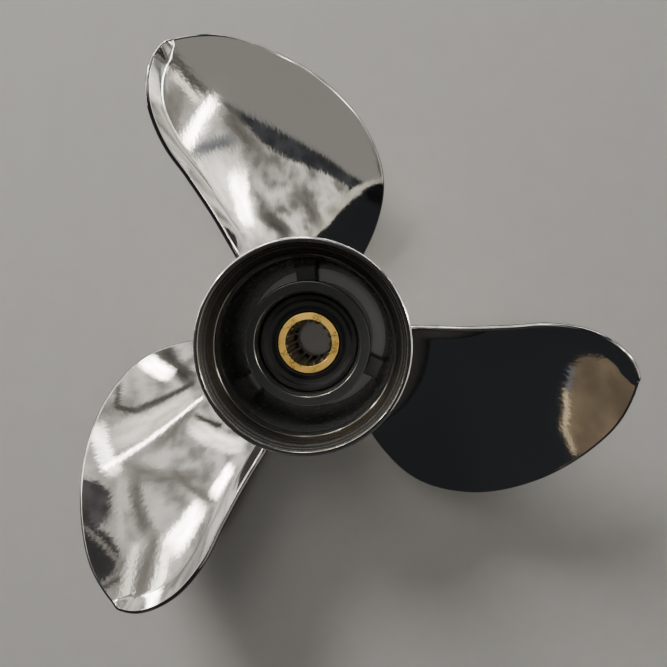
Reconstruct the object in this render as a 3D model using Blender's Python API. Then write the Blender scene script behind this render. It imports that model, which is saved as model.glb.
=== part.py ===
"""Outboard propeller: a cast aluminium wheel with three cupped blades and exhaust through its hub.

The hub stands on its front face with its flared aft end up. A brass sleeve with internal splines
sits in a rubber bush inside the inner hub, and takes the engine's propeller shaft.
+Z runs along the shaft towards the aft end, and the origin is on the shaft axis at the front face.
"""
import math

import bmesh
import bpy
from mathutils import Vector

MM = 0.001
GAP = 0.3 * MM

# Driving dimensions of the wheel
TIP_RADIUS = 172.0 * MM
PITCH = 396.0 * MM
RAKE = math.radians(16.4)
BLADE_COUNT = 3
HUB_LENGTH = 119.0 * MM

# Outer barrel and the flared ring at its aft end
BARREL_FRONT_RADIUS = 51.4 * MM
BARREL_ROOT_RADIUS = 52.0 * MM
BARREL_WAIST_RADIUS = 50.6 * MM
BARREL_BORE_FRONT = 45.4 * MM
BARREL_BORE_AFT = 46.2 * MM
FLARE_START = 97.0 * MM
FLARE_RADIUS = 55.0 * MM
FLARE_STEP_HEIGHT = 106.0 * MM
FLARE_STEP_RADIUS = 47.4 * MM
FLARE_LIP = 2.4 * MM

# Inner hub, rubber bush and brass sleeve
INNER_HUB_RADIUS = 34.5 * MM
INNER_HUB_ROOT_RADIUS = 37.0 * MM
INNER_HUB_FRONT = 5.0 * MM
INNER_HUB_AFT = 85.5 * MM
INNER_HUB_LIP_RADIUS = 29.2 * MM
BUSH_RADIUS = 27.3 * MM
BUSH_FRONT = 9.0 * MM
BUSH_AFT = 75.4 * MM
BUSH_DISH_DEPTH = 1.6 * MM
SLEEVE_RADIUS = 17.0 * MM
SLEEVE_FRONT = 4.0 * MM
SLEEVE_AFT = 76.5 * MM
SPLINE_COUNT = 15
SPLINE_PHASE = math.radians(20.1)
SPLINE_TIP_RADIUS = 11.3 * MM
SPLINE_ROOT_RADIUS = 12.9 * MM
SPLINE_FRONT = 22.0 * MM
SPLINE_CHAMFER = 1.6 * MM

# Ribs between the inner hub and the barrel
RIB_ANGLE = math.radians(96.0)
RIB_WIDTH = 11.8 * MM
RIB_FRONT = 7.0 * MM
RIB_AFT = 42.0 * MM

# Blade outline seen from aft: polar angles of both edges of its aft face, from the root to the tip
LEADING_STATIONS = (0.0, 0.15, 0.3, 0.45, 0.6, 0.75, 0.9, 1.0)
LEADING_DEGREES = (58.9, 60.7, 65.7, 75.8, 87.9, 98.9, 107.3, 114.0)
TRAILING_STATIONS = (0.0, 0.15, 0.3, 0.4, 0.5, 0.6, 0.8, 0.9, 1.0)
TRAILING_DEGREES = (129.2, 126.1, 125.2, 125.2, 124.2, 122.5, 117.9, 115.5, 114.0)
TRAILING_ROOT_HEIGHT = 86.4 * MM

# Blade sections
ROOT_THICKNESS = 10.5 * MM
TIP_THICKNESS = 2.8 * MM
LEADING_THICKNESS = 3.0 * MM
TRAILING_THICKNESS = 3.4 * MM
CUP_WIDTH = 6.5 * MM
CUP_RISE = 1.3 * MM
BLADE_BURIED_RADIUS = 47.0 * MM
LAST_STATION = 0.975
SPAN_STEPS = 20
CHORD_STEPS = 12

BARREL_SEGMENTS = 72
HUB_SEGMENTS = 60

PAINT = ("gloss_black_paint", (0.012, 0.012, 0.013), 0.14, 0.0)
TURNED_PAINT = ("turned_black_paint", (0.035, 0.035, 0.037), 0.38, 0.2)
RUBBER = ("bush_rubber", (0.03, 0.03, 0.032), 0.6, 0.0)
BRASS = ("sleeve_brass", (0.72, 0.5, 0.16), 0.28, 1.0)


def clear_scene():
    """Removes every object, so that the file starts empty."""
    for old in list(bpy.data.objects):
        bpy.data.objects.remove(old, do_unlink=True)


def material(finish):
    """Returns the Principled material of a finish: name, colour, roughness and metallic."""
    name, colour, roughness, metallic = finish
    found = bpy.data.materials.get(name)
    if found:
        return found
    made = bpy.data.materials.new(name)
    made.use_nodes = True
    shader = made.node_tree.nodes["Principled BSDF"]
    shader.inputs["Base Color"].default_value = (*colour, 1.0)
    shader.inputs["Roughness"].default_value = roughness
    shader.inputs["Metallic"].default_value = metallic
    return made


def add_object(name, bm, finish):
    """Turns a bmesh into a smooth shaded object with sharp edges kept."""
    bmesh.ops.recalc_face_normals(bm, faces=bm.faces[:])
    mesh = bpy.data.meshes.new(name)
    bm.to_mesh(mesh)
    bm.free()
    mesh.shade_smooth()
    mesh.set_sharp_from_angle(angle=math.radians(35))
    piece = bpy.data.objects.new(name, mesh)
    bpy.context.scene.collection.objects.link(piece)
    piece.data.materials.append(material(finish))
    return piece


def polar(radius, angle, height):
    """Returns the point at a radius, a polar angle and a height."""
    return Vector((radius * math.cos(angle), radius * math.sin(angle), height))


def even_angles(count):
    """Returns the angles of a regular polygon's corners."""
    return [2 * math.pi * step / count for step in range(count)]


def turned(name, profile_at, angles, finish):
    """Makes a ring whose closed profile, a list of radii and heights, may change with the angle."""
    bm = bmesh.new()
    rows = []
    for angle in angles:
        rows.append([bm.verts.new(polar(radius, angle, height)) for radius, height in profile_at(angle)])
    points = len(rows[0])
    for row, following in zip(rows, rows[1:] + rows[:1]):
        for here in range(points):
            there = (here + 1) % points
            bm.faces.new((row[here], row[there], following[there], following[here]))
    return add_object(name, bm, finish)


def ease(amount):
    """Returns a smooth step from 0 to 1."""
    amount = min(max(amount, 0.0), 1.0)
    return amount * amount * (3 - 2 * amount)


def mix(low, high, amount):
    """Returns the value between two others."""
    return low + (high - low) * amount


def barrel_radius(height):
    """Returns the outer radius of the barrel: full under the blades, slimmer towards its aft end."""
    front = mix(BARREL_FRONT_RADIUS, BARREL_ROOT_RADIUS, ease(height / (12 * MM)))
    return mix(front, BARREL_WAIST_RADIUS, ease((height - 45 * MM) / (45 * MM)))


def barrel_outside(heights, clearance=0.0):
    """Returns the barrel's outer profile at the given heights."""
    return [(barrel_radius(height) + clearance, height) for height in heights]


def make_barrel():
    """The plain tube of the casting that the blades stand on."""
    top = FLARE_START - GAP
    chamfer = 0.8 * MM
    outside = barrel_outside([chamfer, 6 * MM, 12 * MM, 45 * MM, 56 * MM, 68 * MM, 80 * MM, 90 * MM, top])
    start = [(BARREL_FRONT_RADIUS - chamfer, 0.0)]
    inside = [(BARREL_BORE_AFT, top), (BARREL_BORE_FRONT, RIB_AFT + 8 * MM), (BARREL_BORE_FRONT, chamfer),
              (BARREL_BORE_FRONT + chamfer, 0.0)]
    profile = start + outside + inside
    return turned("outer_barrel", lambda angle: profile, even_angles(BARREL_SEGMENTS), PAINT)


def flare_outside(amount):
    """Returns a point on the outside of the flare, which opens like a bell."""
    height = mix(FLARE_START, HUB_LENGTH - 1.3 * MM, amount)
    return (BARREL_WAIST_RADIUS + (FLARE_RADIUS - BARREL_WAIST_RADIUS) * amount ** 1.7, height)


def make_diffuser_ring():
    """The flared aft end of the hub: a rounded lip, a turned cone and a small step inside."""
    outside = [flare_outside(step / 6) for step in range(7)]
    lip = [(FLARE_RADIUS - 0.35 * MM, HUB_LENGTH - 0.45 * MM), (FLARE_RADIUS - 1.2 * MM, HUB_LENGTH),
           (FLARE_RADIUS - 1.8 * MM, HUB_LENGTH), (FLARE_RADIUS - FLARE_LIP, HUB_LENGTH - 0.7 * MM)]
    cone = [(FLARE_STEP_RADIUS, FLARE_STEP_HEIGHT), (BARREL_BORE_AFT + 0.2 * MM, FLARE_STEP_HEIGHT - 0.8 * MM),
            (BARREL_BORE_AFT, FLARE_START)]
    profile = outside + lip + cone
    return turned("diffuser_ring", lambda angle: profile, even_angles(BARREL_SEGMENTS), TURNED_PAINT)


def inner_hub_radius(height):
    """Returns the outer radius of the inner hub, which widens towards its front."""
    along = (height - INNER_HUB_FRONT) / (INNER_HUB_AFT - INNER_HUB_FRONT)
    return mix(INNER_HUB_ROOT_RADIUS, INNER_HUB_RADIUS, along)


def make_inner_hub():
    """The thick tube inside the barrel, with a chamfered mouth over the bush."""
    bore = BUSH_RADIUS + GAP
    edge = 0.8 * MM
    front, aft = INNER_HUB_FRONT + edge, INNER_HUB_AFT - edge
    profile = [(inner_hub_radius(front), front), (inner_hub_radius(aft), aft),
               (INNER_HUB_RADIUS - edge, INNER_HUB_AFT), (INNER_HUB_LIP_RADIUS, INNER_HUB_AFT),
               (bore + 0.4 * MM, INNER_HUB_AFT - 1.4 * MM), (bore, BUSH_AFT), (bore, front),
               (bore + edge, INNER_HUB_FRONT), (INNER_HUB_ROOT_RADIUS - edge, INNER_HUB_FRONT)]
    return turned("inner_hub", lambda angle: profile, even_angles(HUB_SEGMENTS), PAINT)


def make_rubber_bush():
    """The rubber bush, with a shallow dished ring in its aft face."""
    inside = SLEEVE_RADIUS + GAP
    middle = (inside + BUSH_RADIUS) / 2
    edge = 0.6 * MM
    profile = [(BUSH_RADIUS, BUSH_FRONT + edge), (BUSH_RADIUS, BUSH_AFT - edge), (BUSH_RADIUS - edge, BUSH_AFT),
               (middle + 2.2 * MM, BUSH_AFT), (middle + 0.9 * MM, BUSH_AFT - BUSH_DISH_DEPTH),
               (middle - 1.2 * MM, BUSH_AFT - BUSH_DISH_DEPTH), (inside + 1.6 * MM, BUSH_AFT - 0.2 * MM),
               (inside, BUSH_AFT - 0.2 * MM), (inside, BUSH_FRONT), (BUSH_RADIUS - edge, BUSH_FRONT)]
    return turned("rubber_bush", lambda angle: profile, even_angles(HUB_SEGMENTS), RUBBER)


def spline_angles():
    """Returns four angles for each spline tooth: both ends of its crest, then both ends of the gap."""
    pitch = 2 * math.pi / SPLINE_COUNT
    parts = (-0.1, 0.1, 0.34, 0.66)
    return [SPLINE_PHASE + pitch * (tooth + part) for tooth in range(SPLINE_COUNT) for part in parts]


def sleeve_profile(angle):
    """Returns the sleeve's profile at an angle: a taper, a plain bore, then a tooth or a gap."""
    turn = (angle - SPLINE_PHASE) * SPLINE_COUNT / (2 * math.pi)
    on_tooth = abs(turn - round(turn)) < 0.2
    bore = SPLINE_TIP_RADIUS if on_tooth else SPLINE_ROOT_RADIUS
    plain = SPLINE_TIP_RADIUS
    edge = 0.5 * MM
    return [(SLEEVE_RADIUS, SLEEVE_FRONT + edge), (SLEEVE_RADIUS, SLEEVE_AFT - edge),
            (SLEEVE_RADIUS - edge, SLEEVE_AFT), (SPLINE_ROOT_RADIUS + 0.2 * MM, SLEEVE_AFT),
            (bore, SLEEVE_AFT - SPLINE_CHAMFER), (bore, SPLINE_FRONT), (plain, SPLINE_FRONT - SPLINE_CHAMFER),
            (plain, SLEEVE_FRONT + 5 * MM), (plain + 1.8 * MM, SLEEVE_FRONT),
            (SLEEVE_RADIUS - edge, SLEEVE_FRONT)]


def make_splined_sleeve():
    """The brass sleeve that slides on the shaft."""
    return turned("splined_sleeve", sleeve_profile, spline_angles(), BRASS)


def make_rib(number):
    """One rib between the inner hub and the barrel, with its ends curved to both walls."""
    centre = RIB_ANGLE + 2 * math.pi * number / BLADE_COUNT
    bm = bmesh.new()
    rings = []
    for height in (RIB_FRONT, RIB_AFT):
        inner = inner_hub_radius(height) + GAP
        outer = BARREL_BORE_FRONT - GAP
        ring = []
        for radius, sides in ((inner, (-1, -0.5, 0, 0.5, 1)), (outer, (1, 0.5, 0, -0.5, -1))):
            for side in sides:
                angle = centre + math.asin(side * RIB_WIDTH / 2 / radius)
                ring.append(bm.verts.new(polar(radius, angle, height)))
        rings.append(ring)
    low, high = rings
    bm.faces.new(low)
    bm.faces.new(high)
    for here in range(len(low)):
        there = (here + 1) % len(low)
        bm.faces.new((low[here], low[there], high[there], high[here]))
    return add_object(f"rib_{number + 1}", bm, PAINT)


def curve_through(stations, values, at):
    """Returns the value at a station on a smooth curve through hand-set points."""
    last = len(stations) - 1
    step = next((index for index in range(last) if at <= stations[index + 1]), last - 1)

    def slope(index):
        low, high = max(index - 1, 0), min(index + 1, last)
        return (values[high] - values[low]) / (stations[high] - stations[low])

    span = stations[step + 1] - stations[step]
    part = (at - stations[step]) / span
    rise, fall = part * part * (3 - 2 * part), part - 1
    bend = slope(step) * part * fall * fall + slope(step + 1) * part * part * fall
    return mix(values[step], values[step + 1], rise) + bend * span


def face_height(radius, angle):
    """Returns the height of the blade's aft face, a raked screw surface."""
    turned_by = angle - math.radians(TRAILING_DEGREES[0])
    return TRAILING_ROOT_HEIGHT + PITCH * turned_by / (2 * math.pi) + math.tan(RAKE) * (radius - BARREL_ROOT_RADIUS)


def face_normal(radius, angle):
    """Returns the aft face's unit normal, from the slopes of the screw surface."""
    outward = Vector((math.cos(angle), math.sin(angle), 0))
    around = Vector((-math.sin(angle), math.cos(angle), 0))
    lead = PITCH / (2 * math.pi)
    return (Vector((0, 0, 1)) - outward * math.tan(RAKE) - around * lead / radius).normalized()


def section_thickness(chord, station):
    """Returns the blade's thickness at a place on its chord: thin edges and a full middle."""
    thickest = mix(ROOT_THICKNESS, TIP_THICKNESS, station ** 0.8)
    edge = mix(mix(LEADING_THICKNESS, TRAILING_THICKNESS, chord), TIP_THICKNESS, max(station * 2 - 1, 0.0))
    return edge + max(thickest - edge, 0.0) * (4 * chord * (1 - chord)) ** 0.7


def blade_row(radius, station, turn):
    """Returns one closed section of a blade: along its aft face, then back along its front face."""
    lead_angle = math.radians(curve_through(LEADING_STATIONS, LEADING_DEGREES, station))
    trail_angle = math.radians(curve_through(TRAILING_STATIONS, TRAILING_DEGREES, station))
    slant = math.atan(PITCH / (2 * math.pi * radius))
    width = (trail_angle - lead_angle) * radius / math.cos(slant)
    cup_start = 1 - min(CUP_WIDTH / width, 0.5)
    steps = [step / CHORD_STEPS for step in range(CHORD_STEPS + 1)]
    chords = [cup_start * (5 * step - step ** 3) / 4 for step in steps] + [mix(cup_start, 1.0, 0.5), 1.0]
    face, back = [], []
    for chord in chords:
        angle = mix(lead_angle, trail_angle, chord)
        normal = face_normal(radius, angle + turn)
        cup = CUP_RISE * max((chord - cup_start) / (1 - cup_start), 0.0) ** 1.5 * ease(station * 8 + 0.2)
        point = polar(radius, angle + turn, face_height(radius, angle) + cup)
        face.append(point)
        back.append(point - normal * section_thickness(chord, station))
    return face + back[::-1]


def make_blade_blank(number):
    """One blade, with its root still running into the barrel's wall."""
    turn = 2 * math.pi * number / BLADE_COUNT
    rows = [blade_row(BLADE_BURIED_RADIUS, 0.0, turn)]
    reach = (TIP_RADIUS - BARREL_ROOT_RADIUS) / math.sin(LAST_STATION * math.pi / 2)
    for step in range(SPAN_STEPS + 1):
        station = LAST_STATION * step / SPAN_STEPS
        rows.append(blade_row(BARREL_ROOT_RADIUS + reach * math.sin(station * math.pi / 2), station, turn))
    bm = bmesh.new()
    rings = [[bm.verts.new(point) for point in row] for row in rows]
    points = len(rings[0])
    for ring, following in zip(rings, rings[1:]):
        for here in range(points):
            there = (here + 1) % points
            bm.faces.new((ring[here], ring[there], following[there], following[here]))
    for ring in (rings[0][::-1], rings[-1]):
        for low in range(points // 2 - 1):
            bm.faces.new((ring[low], ring[low + 1], ring[points - 2 - low], ring[points - 1 - low]))
    bmesh.ops.triangulate(bm, faces=bm.faces[:])
    return add_object(f"blade_{number + 1}", bm, PAINT)


def make_root_cutter():
    """A guide solid, a little larger than the barrel, that trims the blade roots."""
    heights = [-20 * MM, 0.0, 6 * MM, 12 * MM, 45 * MM, 56 * MM, 68 * MM, 80 * MM, 90 * MM, 130 * MM]
    core = 20 * MM
    profile = barrel_outside(heights, GAP) + [(core, heights[-1]), (core, heights[0])]
    cutter = turned("root_cutter", lambda angle: profile, even_angles(BARREL_SEGMENTS), PAINT)
    cutter.hide_render = True
    cutter.display_type = "WIRE"
    return cutter


def make_blades():
    """The three blades, each trimmed to the barrel."""
    cutter = make_root_cutter()
    for number in range(BLADE_COUNT):
        blade = make_blade_blank(number)
        trim = blade.modifiers.new("trim_root", "BOOLEAN")
        trim.operation = "DIFFERENCE"
        trim.solver = "EXACT"
        trim.object = cutter


def main():
    clear_scene()
    make_barrel()
    make_diffuser_ring()
    make_inner_hub()
    for number in range(BLADE_COUNT):
        make_rib(number)
    make_rubber_bush()
    make_splined_sleeve()
    make_blades()


main()
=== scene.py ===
"""Dresses an outboard propeller: gloss black casting, turned flare, rubber bush and brass sleeve.

Every piece is built in metres in the part's own frame: +Z runs along the shaft towards the aft end,
which faces the camera, and the origin is on the shaft axis at the hub's front face.
"""
from __future__ import annotations

import logging
import math
from dataclasses import dataclass
from enum import Enum
from typing import Callable, Sequence

import bmesh
import bpy
import numpy as np
from mathutils import Matrix, Vector
from mathutils.geometry import tessellate_polygon


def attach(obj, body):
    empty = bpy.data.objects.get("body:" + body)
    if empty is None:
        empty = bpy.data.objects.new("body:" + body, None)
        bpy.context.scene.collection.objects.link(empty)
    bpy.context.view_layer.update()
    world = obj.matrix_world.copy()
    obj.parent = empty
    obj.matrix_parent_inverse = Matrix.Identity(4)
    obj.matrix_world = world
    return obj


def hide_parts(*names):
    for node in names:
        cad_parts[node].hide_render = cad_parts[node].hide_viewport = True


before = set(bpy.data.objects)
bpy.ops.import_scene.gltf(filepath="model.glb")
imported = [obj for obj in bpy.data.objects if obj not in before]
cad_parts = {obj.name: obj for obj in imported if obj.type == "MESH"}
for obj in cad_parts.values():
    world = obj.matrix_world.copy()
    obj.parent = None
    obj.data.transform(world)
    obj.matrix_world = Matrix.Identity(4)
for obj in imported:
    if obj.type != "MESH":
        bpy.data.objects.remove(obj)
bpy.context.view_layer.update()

MM = 0.001
BODY = "root"
LOG = logging.getLogger("propeller")

Profile = list[tuple[float, float]]
Colour = tuple[float, float, float]
Direction = tuple[float, float]
Rows = np.ndarray
Numbers = Rows | float
Socket = bpy.types.NodeSocket
Material = bpy.types.Material
Piece = bpy.types.Object


class Slot(Enum):
    """The record's material slots."""

    PAINT = "gloss_paint"
    TURNED = "turned_paint"
    RUBBER = "rubber"
    BRASS = "brass"


def ease(amount: Numbers) -> Numbers:
    """Returns a smooth step from 0 to 1."""
    held = np.clip(amount, 0.0, 1.0)
    return held * held * (3 - 2 * held)


def mix(low: Numbers, high: Numbers, amount: Numbers) -> Numbers:
    """Returns the value between two others."""
    return low + (high - low) * amount


def around(radius: Numbers, angle: Numbers, height: Numbers) -> Rows:
    """Returns the points at some distances from the axis, polar angles and heights."""
    return np.stack([radius * np.cos(angle), radius * np.sin(angle), height], -1)


def spun(rows: Rows, turn: float) -> Rows:
    """Returns rows of points turned about the axis."""
    cosine, sine = math.cos(turn), math.sin(turn)
    return rows @ np.array([[cosine, sine, 0], [-sine, cosine, 0], [0, 0, 1]])


def quarter_round(size: float, steps: int) -> tuple[Rows, Rows]:
    """Returns a fillet's distances from the wall, and how far it stands out from the body at each."""
    arc = np.radians(np.linspace(90, 0, steps))
    return size * (1 - np.sin(arc)), size * (1 - np.cos(arc))


def even_angles(count: int) -> list[float]:
    """Returns the angles of a regular polygon's corners."""
    return [2 * math.pi * step / count for step in range(count)]


def aim(azimuth: float, elevation: float) -> Vector:
    """Returns the unit vector of a direction, in degrees round the shaft and above the horizon."""
    turn, rise = math.radians(azimuth), math.radians(elevation)
    return Vector((math.cos(turn) * math.cos(rise), math.sin(turn) * math.cos(rise), math.sin(rise)))


def rounded(corners: Sequence[tuple[float, float, float]], steps: int = 5) -> Profile:
    """Rounds the corners of a closed profile.

    Args:
        corners: Radius, height and rounding of each corner.
        steps: Segments in each rounded corner.

    Returns:
        The profile's points.
    """
    points: Profile = []
    count = len(corners)
    for index, (radius, height, rounding) in enumerate(corners):
        here = Vector((radius, height))
        if rounding <= 0:
            points.append((radius, height))
            continue
        before = (Vector(corners[index - 1][:2]) - here).normalized()
        after = (Vector(corners[(index + 1) % count][:2]) - here).normalized()
        half = before.angle(after) / 2
        reach = rounding / math.tan(half)
        centre = here + (before + after).normalized() * (rounding / math.sin(half))
        start, end = here + before * reach - centre, here + after * reach - centre
        turn = start.angle_signed(end)
        for step in range(steps + 1):
            arm = Matrix.Rotation(-turn * step / steps, 2) @ start
            points.append(tuple(centre + arm))
    return points


def add_object(name: str, data: bpy.types.ID) -> Piece:
    """Adds an object to the scene.

    Args:
        name: Its name.
        data: Its mesh, light or camera.

    Returns:
        The object.
    """
    made = bpy.data.objects.new(name, data)
    bpy.context.scene.collection.objects.link(made)
    return made


@dataclass(frozen=True)
class SmoothCurve:
    """A smooth curve through a few given points."""

    stations: tuple[float, ...]
    values: tuple[float, ...]

    def at(self, places: Numbers) -> Rows:
        """Reads the curve.

        Args:
            places: Stations to read it at.

        Returns:
            The curve's values there.
        """
        places = np.atleast_1d(np.asarray(places, float))
        x, y = np.array(self.stations), np.array(self.values)
        last = len(x) - 1
        step = np.clip(np.searchsorted(x, places) - 1, 0, last - 1)
        low, high = np.maximum(np.arange(last + 1) - 1, 0), np.minimum(np.arange(last + 1) + 1, last)
        slope = (y[high] - y[low]) / (x[high] - x[low])
        span = x[step + 1] - x[step]
        part = (places - x[step]) / span
        fall = part - 1
        bend = slope[step] * part * fall * fall + slope[step + 1] * part * part * fall
        return mix(y[step], y[step + 1], part * part * (3 - 2 * part)) + bend * span


class Mesher:
    """Builds meshes from rows of points."""

    FLAT_WEIGHT = 80

    @staticmethod
    def add(name: str, points: Rows, faces: list[tuple[int, ...]],
            weld: float = 0.0) -> Piece:
        """Makes a smooth shaded object whose faces point out.

        Args:
            name: The piece's name.
            points: Vertex positions.
            faces: Vertex indices of each face, all wound the same way.
            weld: Points closer than this become one.

        Returns:
            The new object, linked to the scene.
        """
        volume = 0.0
        for face in faces:
            first = points[face[0]]
            for second, third in zip(face[1:], face[2:]):
                volume += float(np.dot(first, np.cross(points[second], points[third])))
        if volume < 0:
            faces = [tuple(reversed(face)) for face in faces]
        mesh = bpy.data.meshes.new(name)
        mesh.from_pydata(points.tolist(), [], faces)
        mesh.validate()
        if weld:
            cells = bmesh.new()
            cells.from_mesh(mesh)
            bmesh.ops.remove_doubles(cells, verts=cells.verts[:], dist=weld)
            cells.to_mesh(mesh)
            cells.free()
        mesh.shade_smooth()
        return add_object(name, mesh)

    @staticmethod
    def loops(rows: Rows, round_trip: bool) -> list[tuple[int, ...]]:
        """Joins rows of closed loops with quads.

        Args:
            rows: Loops of points, as an array of rows by points by 3.
            round_trip: Whether the last row joins the first.

        Returns:
            The quads, as indices into the flattened rows.
        """
        count, points = rows.shape[:2]
        faces = []
        for row in range(count if round_trip else count - 1):
            following = (row + 1) % count
            for here in range(points):
                there = (here + 1) % points
                faces.append((row * points + here, row * points + there,
                              following * points + there, following * points + here))
        return faces

    @classmethod
    def lofted(cls, name: str, rows: Rows, weld: float = 0.0) -> Piece:
        """Makes a closed body from loops, with a lattice cap on the first and the last.

        Args:
            name: The piece's name.
            rows: Loops with an even number of points, first half out and second half back.
            weld: Points closer than this become one.

        Returns:
            The new object.
        """
        count, points = rows.shape[:2]
        faces = cls.loops(rows, False)
        start, end = 0, (count - 1) * points
        for low in range(points // 2 - 1):
            high = points - 1 - low
            faces.append((start + low + 1, start + low, start + high, start + high - 1))
            faces.append((end + low, end + low + 1, end + high - 1, end + high))
        return cls.add(name, rows.reshape(-1, 3), faces, weld)

    @classmethod
    def turned(cls, name: str, profile_at: Callable[[float], Profile],
               angles: Sequence[float]) -> Piece:
        """Makes a ring from a closed profile that may change with the angle.

        Args:
            name: The piece's name.
            profile_at: Gives the profile's radii and heights at an angle.
            angles: Polar angles of the profiles.

        Returns:
            The new object, with normals that keep its flats flat.
        """
        rows = []
        for angle in angles:
            radius, height = np.array(profile_at(angle)).T
            rows.append(around(radius, angle, height))
        rows = np.array(rows)
        piece = cls.add(name, rows.reshape(-1, 3), cls.loops(rows, True))
        flats = piece.modifiers.new("flats", "WEIGHTED_NORMAL")
        flats.weight = cls.FLAT_WEIGHT
        return piece


class Value:
    """A number that varies over a surface: a shader socket with arithmetic."""

    def __init__(self, shader: Shader, socket: Socket) -> None:
        """Wraps a socket of a shader."""
        self.shader = shader
        self.socket = socket

    def _with(self, operation: str, *terms: Value | float) -> Value:
        """Adds a Math node for an operation on some terms."""
        node = self.shader.node("ShaderNodeMath", {"operation": operation}, dict(enumerate(terms)))
        return Value(self.shader, node.outputs[0])

    def __add__(self, other: Value | float) -> Value:
        """Returns the sum."""
        return self._with("ADD", self, other)

    def __sub__(self, other: Value | float) -> Value:
        """Returns the difference."""
        return self._with("SUBTRACT", self, other)

    def __rsub__(self, other: float) -> Value:
        """Returns a plain number less this."""
        return self._with("SUBTRACT", other, self)

    def __mul__(self, other: Value | float) -> Value:
        """Returns the product."""
        return self._with("MULTIPLY", self, other)

    def __pow__(self, power: float) -> Value:
        """Returns this raised to a power."""
        return self._with("POWER", self, power)

    __radd__, __rmul__ = __add__, __mul__

    def between(self, low: float, high: float) -> Value:
        """Makes a smooth step.

        Args:
            low: Up to here it is 0.
            high: From here on it is 1.

        Returns:
            The step.
        """
        sockets = {"Value": self, "From Min": low, "From Max": high}
        node = self.shader.node("ShaderNodeMapRange", {"interpolation_type": "SMOOTHSTEP"}, sockets)
        return Value(self.shader, node.outputs["Result"])


class Shader:
    """Builds the nodes of one Principled material."""

    def __init__(self, name: str) -> None:
        """Starts a material with its Principled shader and the object's own coordinates, in metres.

        Args:
            name: The material's name.
        """
        self.material = bpy.data.materials.new(name)
        self.material.use_nodes = True
        self.tree = self.material.node_tree
        self.surface = self.tree.nodes["Principled BSDF"]
        self.place = self.node("ShaderNodeTexCoord", {}, {}).outputs["Object"]

    def node(self, kind: str, settings: dict[str, object],
             sockets: dict[str | int, object]) -> bpy.types.Node:
        """Adds any node.

        Args:
            kind: The node's type.
            settings: Its properties.
            sockets: Values or links of its inputs, by name or number.

        Returns:
            The node.
        """
        made = self.tree.nodes.new(kind)
        for key, setting in settings.items():
            setattr(made, key, setting)
        for key, given in sockets.items():
            self.feed(made.inputs[key], given)
        return made

    def feed(self, socket: Socket, given: object) -> None:
        """Links or sets one input.

        Args:
            socket: The input.
            given: A value, another socket, a number or a tuple.
        """
        if isinstance(given, Value):
            self.tree.links.new(given.socket, socket)
        elif isinstance(given, Socket):
            self.tree.links.new(given, socket)
        elif isinstance(given, tuple) and socket.type == "RGBA":
            socket.default_value = (*given, 1.0)
        else:
            socket.default_value = given

    def set(self, inputs: dict[str, object]) -> None:
        """Sets or links inputs of the Principled shader by name."""
        for name, given in inputs.items():
            self.feed(self.surface.inputs[name], given)

    def split(self) -> tuple[Value, ...]:
        """Returns the position's three numbers."""
        parts = self.node("ShaderNodeSeparateXYZ", {}, {0: self.place})
        return tuple(Value(self, part) for part in parts.outputs)

    def along(self) -> tuple[Value, Value]:
        """Returns the position's distance from the axis and its height."""
        x, y, height = self.split()
        return (x * x + y * y) ** 0.5, height

    def vector(self, operation: str, first: object, second: object = (0.0, 0.0, 0.0)) -> Socket:
        """Returns the result of an operation on vectors, or on a vector and a scale."""
        sockets = {0: first, "Scale" if operation == "SCALE" else 1: second}
        return self.node("ShaderNodeVectorMath", {"operation": operation}, sockets).outputs[0]

    def joined(self, x: object, y: object, z: object) -> Socket:
        """Returns a vector made of three numbers."""
        return self.node("ShaderNodeCombineXYZ", {}, {0: x, 1: y, 2: z}).outputs[0]

    def noise(self, place: Socket, scale: float, detail: float = 2.0, rough: float = 0.5) -> Value:
        """Returns a soft random pattern, about 0.5 on average, with some patches a metre and finer layers."""
        sockets = {"Vector": place, "Scale": scale, "Detail": detail, "Roughness": rough}
        return Value(self, self.node("ShaderNodeTexNoise", {}, sockets).outputs["Fac"])

    def tint(self, amount: Value, low: Colour | Socket, high: Colour | Socket) -> Socket:
        """Returns the colour between two others."""
        return self.node("ShaderNodeMix", {"data_type": "RGBA"}, {0: amount, 6: low, 7: high}).outputs[2]

    def relief(self, height: Value, depth: float, under: Socket | None = None) -> Socket:
        """Bends normals by a height pattern.

        Args:
            height: The pattern.
            depth: The real height, in metres, of a pattern of 1.
            under: Normals that it adds to.

        Returns:
            The bent normals.
        """
        sockets = {"Height": height, "Distance": depth, "Strength": 1.0}
        if under is not None:
            sockets["Normal"] = under
        return self.node("ShaderNodeBump", {}, sockets).outputs["Normal"]

    def glow(self, strength: float, bright: Value, tint: Colour, dim: float) -> None:
        """Makes the material a plain glow.

        Args:
            strength: How bright it is.
            bright: Where it shows its full colour.
            tint: That colour.
            dim: The share of the colour that it keeps elsewhere.
        """
        dark = tuple(channel * dim for channel in tint)
        self.set({"Base Color": (0.0, 0.0, 0.0), "Specular IOR Level": 0.0, "Emission Strength": strength,
                  "Emission Color": self.tint(bright, dark, tint)})


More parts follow.
